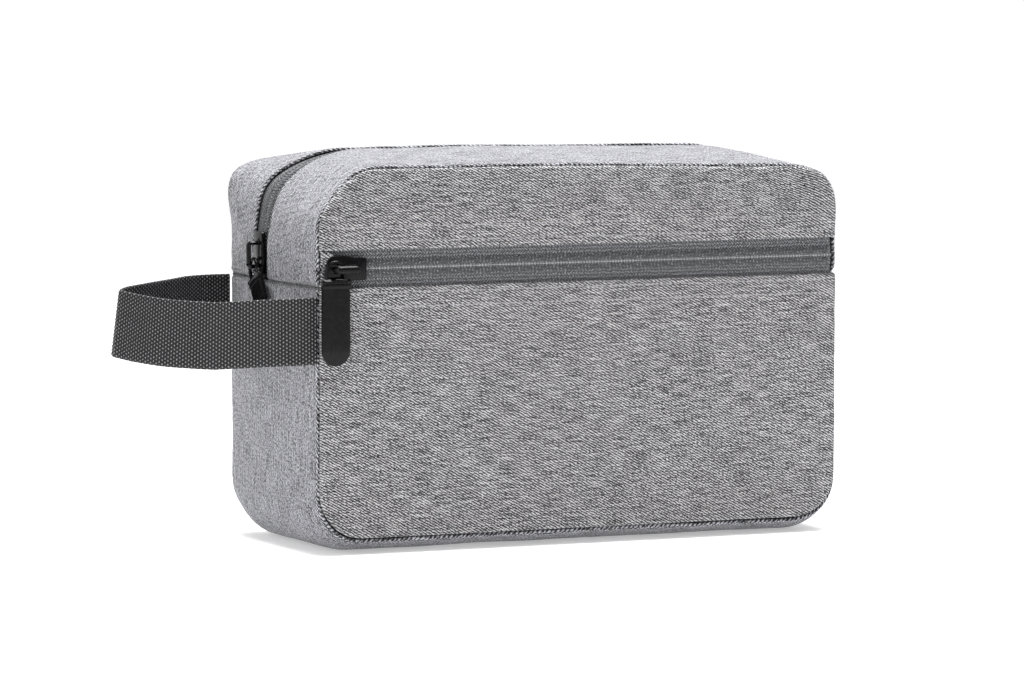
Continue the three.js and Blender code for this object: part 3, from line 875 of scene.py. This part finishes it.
def sweep(path, sideways, width, thickness, chamfer, closed=False):
    """A flat bar with chamfered edges along a plane path; sideways is the plane's normal."""
    path = np.asarray(path, float)
    if closed:
        tangents = np.roll(path, -1, 0) - np.roll(path, 1, 0)
    else:
        tangents = np.gradient(path, axis=0)
    tangents = unit(tangents)
    sideways = np.asarray(sideways, float)
    w, t, (cut_w, cut_t) = width / 2, thickness / 2, chamfer
    section = [(w, -t + cut_t), (w, t - cut_t), (w - cut_w, t), (-w + cut_w, t),
               (-w, t - cut_t), (-w, -t + cut_t), (-w + cut_w, -t), (w - cut_w, -t)]
    sides = len(section)
    vertices, faces = [], []
    for point, tangent in zip(path, tangents):
        up = np.cross(tangent, sideways)
        vertices += [tuple(point + sideways * a + up * b) for a, b in section]
    count = len(path)
    for i in range(count if closed else count - 1):
        a, b = i * sides, ((i + 1) % count) * sides
        faces += [(a + k, a + (k + 1) % sides, b + (k + 1) % sides, b + k) for k in range(sides)]
    if not closed:
        faces += [tuple(range(sides))[::-1], tuple(range((count - 1) * sides, count * sides))]
    return vertices, faces


def slider_outline():
    half = [(-8.0, 2.2), (-7.3, 3.9), (-5.9, 4.9), (-4.2, 5.2), (-2.0, 5.2), (0.6, 4.8),
            (3.0, 4.3), (7.4, 4.2), (8.0, 3.6)]
    return [(x, -y) for x, y in half] + half[::-1]


def slider_body(name, matrix):
    top = prism(slider_outline(), PLATE_TOP - PLATE_THICK, PLATE_TOP)
    low = prism(slider_outline(), *LOWER_PLATE)
    neck_outline = [(-6.5, -0.34), (-2.5, -0.25), (-0.5, 0), (-2.5, 0.25), (-6.5, 0.34)]
    neck = prism(neck_outline, LOWER_PLATE[1] - 0.3, PLATE_TOP - PLATE_THICK + 0.3)
    saddle = prism([(-6.9, -1.5), (5.6, -1.7), (5.6, 1.7), (-6.9, 1.5)],
                   PLATE_TOP - 0.2, PLATE_TOP + 0.35)
    vertices, faces = merged(top, low, neck, saddle)
    return bevelled(name, vertices, faces, matrix, 0.38, GLOSS)


def slider_bridge(name, matrix):
    foot, crest, bend = PLATE_TOP - 0.2, BRIDGE_CREST - 0.75, 1.3
    left, right = POST_X, POST_X + BRIDGE_SPAN
    path = [(left, foot), (left, crest - bend)]
    path += arc(left + bend, crest - bend, bend, 180, 90, 7)[1:]
    path += [(left + bend + 2, crest), (right - bend - 2, crest)]
    path += arc(right - bend, crest - bend, bend, 90, 0, 7)
    path += [(right, foot)]
    points = [(x, 0, z) for x, z in path]
    vertices, faces = sweep(points, (0, 1, 0), 2.9, 1.6, (0.8, 0.72))
    return bevelled(name, vertices, faces, matrix, 0.12, GLOSS, segments=2)


def pull_ring(name, matrix):
    corner = 0.9
    low = -HINGE_DROP
    outline = (arc(0, -0.8, RING_RADIUS, 180, 0, 19)
               + arc(RING_RADIUS - corner, low + corner, corner, 0, -90, 5)
               + arc(-RING_RADIUS + corner, low + corner, corner, -90, -180, 5))
    path = [(x, y, PULL_LEVEL) for x, y in outline]
    vertices, faces = sweep(path, (0, 0, 1), 1.4, 1.3, (0.42, 0.4), closed=True)
    return bevelled(name, vertices, faces, matrix, 0.12, GLOSS, segments=2)


def pull_tab(name, matrix):
    """A long rounded plate: its top wraps the ring's lower bar, its end dips to the cloth."""
    half = TAB_WIDTH / 2
    top, end = -TAB_TOP, -TAB_TOP - TAB_LENGTH + 0.4
    rows = [(y, half) for y in np.linspace(top, end + half, 22)]
    rows += [(end + half - half * math.sin(a), half * math.cos(a))
             for a in np.radians(np.linspace(4, 86, 16))]
    columns = np.array([-1, -0.985, -0.93, -0.8, -0.5, 0, 0.5, 0.8, 0.93, 0.985, 1])
    lift = np.array([-0.62, -0.28, -0.05, 0.0, 0.02, 0.03, 0.02, 0.0, -0.05, -0.28, -0.62])
    face, under = [], []
    for y, reach in rows:
        dip = np.clip((end + 6.0 - y) / 6.0, 0, 1)
        rim = np.clip(1 - (y - end) / 0.5, 0, 1)
        for c, l in zip(columns, lift):
            level = PULL_LEVEL + 0.72 - 0.75 * dip ** 1.6 + l * 0.9 - 0.35 * rim
            face.append((c * reach, y, level))
            under.append((c * reach, y, PULL_LEVEL - 0.85 - l * 0.45 + 0.15 * rim))
    count, wide = len(rows), len(columns)
    faces = [tuple(q) for q in grid_faces(count, wide, True)]
    faces += [tuple(int(i) + count * wide for i in q) for q in grid_faces(count, wide, False)]
    faces += [tuple(int(i) for i in q) for q in grid_rim(count, wide)]
    plate = (face + under, faces)
    lip = [(x, -HINGE_DROP - 0.1, PULL_LEVEL) for x in np.linspace(-half + 0.05, half - 0.05, 9)]
    lip_bar = sweep(lip, (0, 0, 1), 2.4, 2.2, (0.7, 0.75))
    band = prism([(-half + 0.02, -TAB_TOP - 1.7), (half - 0.02, -TAB_TOP - 1.7),
                  (half - 0.02, -HINGE_DROP - 0.3), (-half + 0.02, -HINGE_DROP - 0.3)],
                 PULL_LEVEL - 0.9, PULL_LEVEL + 1.0)
    vertices, faces = merged(plate, lip_bar, band)
    return bevelled(name, vertices, faces, matrix, 0.16, GLOSS, segments=2, angle=50)


def slider(prefix, matrix, tilt):
    hanging = turned_matrix(matrix, POST_X, tilt)
    for make, node, body, where in (
        (slider_body, "slider_body", "slider", matrix),
        (slider_bridge, "slider_bridge", "slider", matrix),
        (pull_ring, "pull_ring", "ring", hanging),
        (pull_tab, "pull_tab", "tab", hanging),
    ):
        piece = make(f"{prefix}_{node}_detail", where)
        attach(piece, f"{prefix}_{body}")
        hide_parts(f"{prefix}_{node}")


X, Y, Z = np.eye(3)
body_low, body_high = box_mm("pocket_slider_body")
middle = (body_low + body_high) / 2
slider("pocket", frame_matrix(X, Z, -Y, (middle[0], -HALF_DEPTH, middle[2])), 0)
body_low, body_high = box_mm("main_slider_body")
middle = (body_low + body_high) / 2
slider("main", frame_matrix(Z, Y, -X, (body_low[0] + PLATE_TOP, ZIP_Y, middle[2])), MAIN_TILT - 90)


# ---- Cloth ends folded over the left end of the pocket zip, with a notch between them ----
def end_tab(name, low, high, tip_low, tip_high, reach, seed):
    s, t = np.meshgrid(np.linspace(0, 1, 16), np.linspace(0, 1, 14), indexing="ij")
    x = -HALF_WIDTH + PANEL_INSET + 0.2 + reach * s
    z = (low + (tip_low - low) * s ** 1.4) * (1 - t) + (high + (tip_high - high) * s ** 1.4) * t
    edge = np.minimum(np.minimum(t, 1 - t) * (high - low), (1 - s) * reach)
    flat = np.stack([x, 0 * x, z], -1)
    out = -roll(edge, 0.7) - 0.45 + 0.15 * soft_noise(flat, 3, seed)
    points = np.stack([x, -HALF_DEPTH - out, z], -1)
    piece = cloth_piece(name, points, points[..., [0, 2]], 0.5, TWILL_FRONT, -1)
    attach(piece, "root")


end_tab("zip_end_tab_upper", POCKET_MIDDLE + 0.9, POCKET_HIGH - 0.2,
        POCKET_MIDDLE + 2.6, POCKET_HIGH - 1.4, 5.2, 81)
end_tab("zip_end_tab_lower", POCKET_LOW + 0.2, POCKET_MIDDLE - 0.9,
        POCKET_LOW + 1.2, POCKET_MIDDLE - 2.2, 3.6, 83)


# ---- Webbing hand loop ----
loop_low, loop_high = box_mm("strap_loop")
WEBBING_THICK = 1.8
WEBBING_WIDTH = loop_high[2] - loop_low[2]
WEBBING_MIDDLE = (loop_high[2] + loop_low[2]) / 2
TIP_X = loop_low[0] + WEBBING_THICK / 2
LOOP_HALF = HALF_DEPTH - WEBBING_THICK / 2


def smooth_path(points, count):
    """Evenly spaced points on a Catmull-Rom curve through the given ones."""
    points = np.asarray(points, float)
    padded = np.concatenate([[2 * points[0] - points[1]], points, [2 * points[-1] - points[-2]]])
    fine = []
    for i in range(len(points) - 1):
        p0, p1, p2, p3 = padded[i:i + 4]
        for t in np.linspace(0, 1, 40, endpoint=False):
            fine.append(0.5 * (2 * p1 + (p2 - p0) * t + (2 * p0 - 5 * p1 + 4 * p2 - p3) * t * t
                               + (3 * p1 - p0 - 3 * p2 + p3) * t ** 3))
    fine.append(points[-1])
    fine = np.array(fine)
    lengths = arc_length(fine)
    where = np.linspace(0, lengths[-1], count)
    return resampled(fine, lengths, where), where


def webbing_relief(along, across):
    """Rows of plump yarn floats, each row half a step off from the next."""
    column = along / YARN_COLUMN
    index = np.floor(column)
    inside = column - index
    body = np.sin(math.pi * inside) ** 0.7
    lean = YARN_LEAN * (inside - 0.5) * np.where(index % 2 == 0, 1, -1)
    phase = across / YARN_ROW + 0.5 * (index % 2) + lean
    bead = np.abs(np.sin(math.pi * phase)) ** 0.8
    return 0.42 * body * bead - 0.2


seam_x = -HALF_WIDTH - 0.6
route = [
    (seam_x, -LOOP_HALF), (seam_x - 8, -LOOP_HALF + 1.0), (seam_x - 16.5, -LOOP_HALF + 4.0),
    (TIP_X + 26, -0.64 * LOOP_HALF), (TIP_X + 10, -0.26 * LOOP_HALF), (TIP_X + 2, 0.07 * LOOP_HALF),
    (TIP_X, 0.2 * LOOP_HALF), (TIP_X + 3, 0.3 * LOOP_HALF), (TIP_X + 13, 0.46 * LOOP_HALF),
    (TIP_X + 28, 0.7 * LOOP_HALF), (seam_x - 16.5, LOOP_HALF - 4.0), (seam_x - 8, LOOP_HALF - 1.0),
    (seam_x, LOOP_HALF),
]
path, along = smooth_path(route, 520)
tangent = unit(np.gradient(path, axis=0))
sideways = np.stack([tangent[:, 1], -tangent[:, 0]], -1)  # points out of the loop
edge = WEBBING_WIDTH / 2
across = np.concatenate([[-edge], np.arange(-edge + 0.3, edge - 0.1, 0.3), [edge]])
grid_along, grid_across = np.meshgrid(along, across, indexing="ij")
relief = webbing_relief(grid_along, grid_across)
selvage = np.exp(-((edge - np.abs(grid_across)) / 0.5) ** 2)
relief = relief * (1 - 0.6 * selvage) - 0.35 * selvage
total = along[-1]
share = grid_along / total
bow = np.interp(share, [0, 0.1, 0.25, 0.38, 0.48, 0.6, 0.72, 0.86, 1],
                [1.8, 1.2, -0.1, 0.6, 1.6, 3.6, 4.6, 5.4, 5.0])
height = WEBBING_MIDDLE + bow + 0.2 * np.sin(grid_along / 11) + grid_across
# The upper edge stands out further at the tip.
lean = 0.13 * np.sin(math.pi * share) ** 2 * grid_across
core = WEBBING_THICK / 2 - 0.25


def webbing_face(offset):
    level = path[:, None] + sideways[:, None] * offset[..., None]
    return np.concatenate([level, height[..., None]], -1)


inner_relief = webbing_relief(grid_along + YARN_COLUMN, grid_across)
outer = webbing_face(core + relief + lean)
inner = webbing_face(-(core + inner_relief * (1 - 0.6 * selvage) - 0.35 * selvage) + lean)


uv = np.stack([grid_along, grid_across], -1)
hand_loop = two_faced("hand_loop_webbing", outer, inner, uv, WEBBING, soft=False)
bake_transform(hand_loop)
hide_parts("strap_loop", "strap_end_front", "strap_end_back")


# ---- Lining and the back of the pocket ----
LINING_WALL = 0.5


def lining_wall(name, y, facing, rows, seed):
    """An upright sheet that follows the walls' outline, facing the front (-1) or the back (1)."""
    u = np.linspace(-1, 1, 60)
    z, across = np.meshgrid(rows, u, indexing="ij")
    reach = wall_width(z) - 2.6
    flat = np.stack([across * reach, 0 * z, z], -1)
    out = 0.3 * soft_noise(flat, 22, seed) + 0.12 * soft_noise(flat, 8, seed + 1)
    points = np.stack([across * reach, y + facing * out, z], -1)
    uv = points[..., [0, 2]]
    piece = cloth_piece(name, points, uv, LINING_WALL, LINING, facing)
    return piece


def lining_strip(name, route, low_y, high_y, inset, outward, seed):
    y = np.linspace(low_y, high_y, 24)
    points = route(y)
    normals = grid_normals(points) * outward
    out = 0.3 * soft_noise(points, 20, seed) + 0.12 * soft_noise(points, 7, seed + 1)
    moved = points - normals * (inset - out)[..., None]
    uv = np.stack([arc_length(points), points[..., 1]], -1)
    piece = cloth_piece(name, moved, uv, LINING_WALL, LINING, outward)
    return piece


backing_low, backing_high = box_mm("pocket_backing")
tray_low, tray_high = box_mm("lining_lower")
angles = np.linspace(0, math.pi / 2, 12)
corner_rows = SEAM_LOW + 2.8 + (BOTTOM_RADIUS - 3) * (1 - np.cos(angles))
backing = lining_wall("pocket_back", backing_low[1] + 0.2, -1,
                      np.concatenate([corner_rows, np.arange(24, backing_high[2], 2.5)]), 51)
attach(backing, "root")
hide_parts("pocket_backing")
tray_rows = np.concatenate([corner_rows, np.arange(24, tray_high[2] + 1, 2.5)])
for which, y, facing, seed in (("front", tray_low[1] + 0.2, -1, 53),
                               ("back", tray_high[1] - 0.2, 1, 55)):
    skin = lining_wall(f"lining_tray_{which}", y, facing, tray_rows, seed)
    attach(skin, "root")
tray = lining_strip("lining_tray", route_round_base, tray_low[1] + 1.0, tray_high[1] - 1.0,
                    2.4, -1, 57)
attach(tray, "root")
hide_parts("lining_lower")
top_angles = np.linspace(math.pi / 2, 0, 14)
arch_rows = SEAM_TOP - 3.0 - (TOP_RADIUS - 3) * (1 - np.cos(top_angles))
for which, facing, seed in (("front", -1, 61), ("back", 1, 71)):
    skin_low, skin_high = box_mm(f"lining_upper_{which}")
    y = skin_low[1] + 0.2 if facing < 0 else skin_high[1] - 0.2
    start = MOUTH_CUT + 0.2 if facing < 0 else ZIP_END + 1
    rows = np.concatenate([np.arange(start, arch_rows[0] - 0.5, 2.0), arch_rows])
    rows = rows[rows >= start]
    face = lining_wall(f"lining_mouth_wall_{which}", y, facing, rows, seed)
    edge_in, edge_out = ZIP_Y + facing * 13.0, facing * (HALF_DEPTH - 3.4)
    skin = lining_strip(f"lining_mouth_{which}", route_over_top, min(edge_in, edge_out),
                        max(edge_in, edge_out), 3.0, 1, seed + 3)
    for piece in (face, skin):
        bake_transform(piece)
    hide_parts(f"lining_upper_{which}")


# ---- Camera, floor and light ----
camera_data = bpy.data.cameras.new("camera")
camera = bpy.data.objects.new("camera", camera_data)
bpy.context.scene.collection.objects.link(camera)
bpy.context.scene.camera = camera
camera_data.sensor_width = 36
camera_data.lens = 203.9
camera_data.clip_start = 0.05
camera_data.clip_end = 60
AZIMUTH, ELEVATION, DISTANCE = math.radians(-24.2), math.radians(4.58), 2.234
aim = Vector((-0.0078, 0.0035, 0.0717))
back = Vector((math.sin(AZIMUTH) * math.cos(ELEVATION), -math.cos(AZIMUTH) * math.cos(ELEVATION),
               math.sin(ELEVATION)))
camera.location = aim + back * DISTANCE
camera.rotation_mode = "QUATERNION"
camera.rotation_quaternion = (-back).to_track_quat("-Z", "Y")


def stage_plane(name, material_name, grey, roughness, glow, **place):
    bpy.ops.mesh.primitive_plane_add(**place)
    plane = bpy.context.object
    plane.name = name
    material, shader, _ = new_material(material_name, (grey,) * 3, roughness, specular=0.0)
    shader.inputs["Emission Color"].default_value = (1, 1, 1, 1)
    shader.inputs["Emission Strength"].default_value = glow
    plane.data.materials.append(material)
    return plane


# The floor's glow keeps its far part as pale as the near part.
floor = stage_plane("studio_floor", "pale_floor", 0.9, 0.9, 0.34, size=30, location=(0, 0, -0.0003))
backdrop = stage_plane("studio_backdrop", "white_backdrop", 0, 1.0, 1.05, size=1,
                       location=(1.1, 2.6, 2.0), rotation=(math.pi / 2, 0, AZIMUTH))
backdrop.scale = (14, 7, 1)

world = bpy.data.worlds.new("studio")
bpy.context.scene.world = world
world.use_nodes = True
world.node_tree.nodes["Background"].inputs["Color"].default_value = (1, 1, 1, 1)
world.node_tree.nodes["Background"].inputs["Strength"].default_value = 0.36
bpy.context.scene.view_settings.view_transform = "Standard"


def area_light(name, place, target, size, power):
    data = bpy.data.lights.new(name, "AREA")
    data.shape = "RECTANGLE"
    data.size, data.size_y = size
    data.energy = power
    lamp = bpy.data.objects.new(name, data)
    bpy.context.scene.collection.objects.link(lamp)
    lamp.location = place
    lamp.rotation_mode = "QUATERNION"
    lamp.rotation_quaternion = (Vector(target) - Vector(place)).to_track_quat("-Z", "Y")


area_light("top_softbox", (0.05, 0.05, 1.15), (0, 0, 0.1), (0.85, 0.6), 27)
area_light("left_softbox", (-1.3, -0.7, 0.55), (0, 0, 0.08), (0.35, 0.9), 4.5)
area_light("left_strip", (-1.25, -0.95, 0.12), (-0.1, 0, 0.1), (0.12, 0.5), 1.6)
